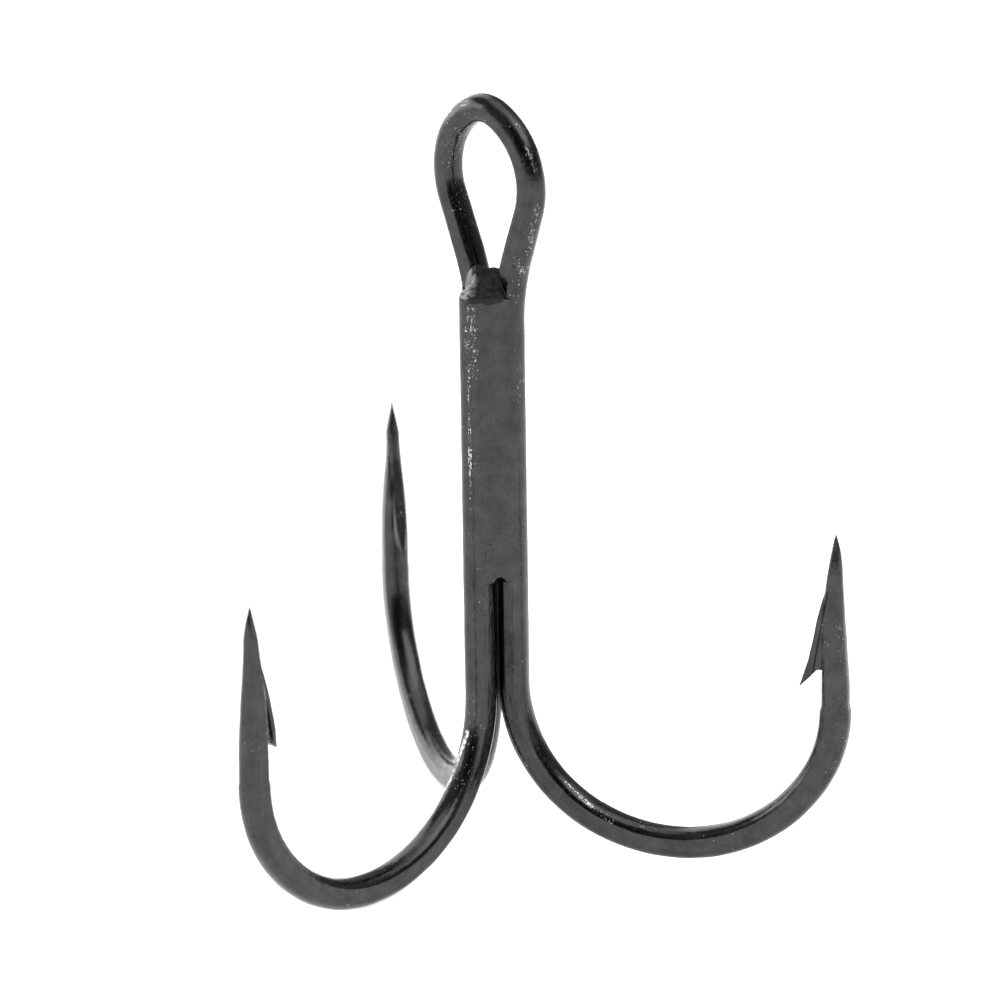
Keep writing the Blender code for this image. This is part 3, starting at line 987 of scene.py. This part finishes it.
def plated_braze():
    """The same plating over run braze metal: rough and darker where it froze, smooth and lighter where it
    ran; the lighter colour is a painted highlight on the run's fillet.
    """
    shader = Shader("plated_braze")
    place = shader.position()
    rough = shader.attribute("pressed_edge", "Fac")
    mottle = shader.noise(place, 4.0, 4.0)
    grain = shader.noise(place, 17.0, 3.0)
    colour = shader.math("MULTIPLY_ADD", mottle, 0.026, BRAZE_NICKEL - 0.021)
    colour = shader.math("MULTIPLY_ADD", grain, 0.016, colour)
    glints = shader.math("MULTIPLY", streaks(shader, place, 12.0, 0.70, 0.04), 0.25)
    colour = shader.mix(glints, colour, WORN_AND_HIGHLIGHT_NICKEL)
    # Painted highlight: the smooth run is coloured lighter than the rough braze.
    colour = shader.mix(rough, RUN_HIGHLIGHT_NICKEL, colour)
    shader.put(shader.surface.inputs["Base Color"], shader.grey(colour, (1.0, 0.99, 0.97)))
    dull = shader.remap(mottle, 0.3, 0.7, 0.48, 0.62)
    shader.put(shader.surface.inputs["Roughness"], shader.mix(rough, 0.34, dull))
    coarse = shader.math("MULTIPLY", shader.noise(place, 7.0, 4.0), rough)
    normal = shader.bump(coarse, 0.008)
    normal = shader.bump(shader.math("MULTIPLY", grain, rough), 0.004, normal)
    shader.put(shader.surface.inputs["Normal"], normal)
    return shader.material


# ---------------------------------------------------------------- stage

CAMERA_BEARING = 44.10
CAMERA_RISE = 19.11
CAMERA_ROLL = -0.82
CAMERA_LENS = 223.46
CAMERA_REACH = 266.914
CAMERA_SHIFT_ACROSS = 0.148
CAMERA_SHIFT_ABOVE = 14.136
SHARP_REACH = 262.0
LENS_OPENING = 95.0
HOOK_FOOT_Z = -31.338


def camera():
    bearing = math.radians(CAMERA_BEARING)
    rise = math.radians(CAMERA_RISE)
    roll = math.radians(CAMERA_ROLL)
    back = Vector((
        math.sin(bearing) * math.cos(rise),
        -math.cos(bearing) * math.cos(rise),
        math.sin(rise),
    ))
    right = Vector((math.cos(bearing), math.sin(bearing), 0))
    up = back.cross(right)
    across = right * math.cos(roll) + up * math.sin(roll)
    above = up * math.cos(roll) - right * math.sin(roll)
    data = bpy.data.cameras.new("camera")
    data.lens = CAMERA_LENS
    data.sensor_width = 36
    data.clip_start = 0.01
    data.clip_end = 10
    cam = bpy.data.objects.new("camera", data)
    bpy.context.scene.collection.objects.link(cam)
    data.dof.use_dof = True
    data.dof.focus_distance = SHARP_REACH * MM
    data.dof.aperture_fstop = LENS_OPENING
    aim = Vector((AXIS_X, AXIS_Y, HOOK_FOOT_Z))
    aim += across * CAMERA_SHIFT_ACROSS + above * CAMERA_SHIFT_ABOVE
    place = (aim + back * CAMERA_REACH) * MM
    turn = Matrix((across, above, back)).transposed().to_4x4()
    cam.matrix_world = Matrix.Translation(place) @ turn
    bpy.context.scene.camera = cam


# The studio as the hook sees it: a grey room with lighter and darker patches. Their places and
# strengths were set until the reflections looked like those in the photo.
# Each patch is (bearing low, bearing high, rise low, rise high, softness, brightness).
ROOM = 0.38
PATCHES = (
    (-190, 190, 64, 100, 8, 1.9),
    (-89, -20, -1, 51, 6, 0.07),
    (-22, 42, 13, 26, 5, 0.12),
    (-17, 18, 6, 14, 4, 0.9),
    (-124, -86, 14, 34, 6, 0.28),
    (-36, 44, 39, 76, 6, 3.2),
    (40, 82, 38, 56, 8, 1.6),
    (-178, -126, -9, 27, 4, 4.2),
    (140, 190, -4, 60, 8, 2.6),
)
FLOOR_GLOW = 0.80
FLOOR_REACH = 2.0


def math_node(tree, operation, first, second=None):
    node = tree.nodes.new("ShaderNodeMath")
    node.operation = operation
    for slot, value in ((0, first), (1, second)):
        if value is None:
            continue
        if isinstance(value, (int, float)):
            node.inputs[slot].default_value = value
        else:
            tree.links.new(value, node.inputs[slot])
    return node.outputs[0]


def ramp(tree, value, low, high, softness):
    """1 between two angles in degrees and 0 outside, with soft edges."""
    rising = tree.nodes.new("ShaderNodeMapRange")
    rising.interpolation_type = "SMOOTHSTEP"
    tree.links.new(value, rising.inputs["Value"])
    rising.inputs["From Min"].default_value = math.radians(low - softness / 2)
    rising.inputs["From Max"].default_value = math.radians(low + softness / 2)
    falling = tree.nodes.new("ShaderNodeMapRange")
    falling.interpolation_type = "SMOOTHSTEP"
    tree.links.new(value, falling.inputs["Value"])
    falling.inputs["From Min"].default_value = math.radians(high - softness / 2)
    falling.inputs["From Max"].default_value = math.radians(high + softness / 2)
    falling.inputs["To Min"].default_value = 1.0
    falling.inputs["To Max"].default_value = 0.0
    return math_node(tree, "MULTIPLY", rising.outputs[0], falling.outputs[0])


def studio():
    world = bpy.data.worlds.new("studio")
    bpy.context.scene.world = world
    world.use_nodes = True
    tree = world.node_tree
    background = tree.nodes["Background"]
    coordinate = tree.nodes.new("ShaderNodeTexCoord")
    split = tree.nodes.new("ShaderNodeSeparateXYZ")
    tree.links.new(coordinate.outputs["Generated"], split.inputs[0])
    bearing = math_node(tree, "ARCTAN2", split.outputs["Y"], split.outputs["X"])
    rise = math_node(tree, "ARCSINE", split.outputs["Z"])
    level = ROOM
    for low, high, bottom, top, softness, brightness in PATCHES:
        sideways = ramp(tree, bearing, low, high, softness)
        upward = ramp(tree, rise, bottom, top, softness)
        mask = math_node(tree, "MULTIPLY", sideways, upward)
        mix = tree.nodes.new("ShaderNodeMix")
        mix.data_type = "FLOAT"
        tree.links.new(mask, mix.inputs["Factor"])
        if isinstance(level, float):
            mix.inputs["A"].default_value = level
        else:
            tree.links.new(level, mix.inputs["A"])
        mix.inputs["B"].default_value = brightness
        level = mix.outputs[0]
    seen = tree.nodes.new("ShaderNodeLightPath")
    shown = tree.nodes.new("ShaderNodeMix")
    shown.data_type = "FLOAT"
    tree.links.new(seen.outputs["Is Camera Ray"], shown.inputs["Factor"])
    tree.links.new(level, shown.inputs["A"])
    shown.inputs["B"].default_value = 1.0
    tree.links.new(shown.outputs[0], background.inputs["Color"])


def pale_floor():
    """Matt white board, lit from behind, with a faint tooth."""
    shader = Shader("pale_floor")
    place = shader.position()
    tooth = shader.noise(place, 1.5, 3.0)
    shader.surface.inputs["Metallic"].default_value = 0.0
    shader.surface.inputs["Specular IOR Level"].default_value = 0.0
    shader.surface.inputs["Emission Color"].default_value = (1, 1, 1, 1)
    shader.surface.inputs["Emission Strength"].default_value = FLOOR_GLOW
    shade = shader.remap(tooth, 0.3, 0.7, 0.86, 0.90)
    shader.put(shader.surface.inputs["Base Color"], shader.grey(shade, (1.0, 1.0, 1.0)))
    shader.put(shader.surface.inputs["Roughness"], shader.remap(tooth, 0.3, 0.7, 0.86, 0.94))
    shader.put(shader.surface.inputs["Normal"], shader.bump(tooth, 0.05))
    return shader.material


def floor(level):
    mesh = bpy.data.meshes.new("floor")
    reach = FLOOR_REACH
    corners = [(-reach, -reach, level), (reach, -reach, level), (reach, reach, level), (-reach, reach, level)]
    mesh.from_pydata(corners, [], [(0, 1, 2, 3)])
    ground = bpy.data.objects.new("floor", mesh)
    bpy.context.scene.collection.objects.link(ground)
    mesh.materials.append(pale_floor())


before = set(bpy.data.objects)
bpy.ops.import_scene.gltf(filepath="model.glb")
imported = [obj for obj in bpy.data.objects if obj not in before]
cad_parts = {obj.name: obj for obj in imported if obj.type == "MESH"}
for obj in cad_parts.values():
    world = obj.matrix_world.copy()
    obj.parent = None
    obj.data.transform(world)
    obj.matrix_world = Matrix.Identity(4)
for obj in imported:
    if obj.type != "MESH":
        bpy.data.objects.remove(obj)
cad_low, cad_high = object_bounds()
nickel = black_nickel()
right_shank, rear_shank, single_shank = build_wires(nickel)
build_seams(nickel, right_shank, rear_shank, single_shank)
build_throat(plated_braze(), right_shank, rear_shank, single_shank)
floor(cad_low.z)
studio()
camera()
bpy.context.scene.view_settings.view_transform = "Standard"
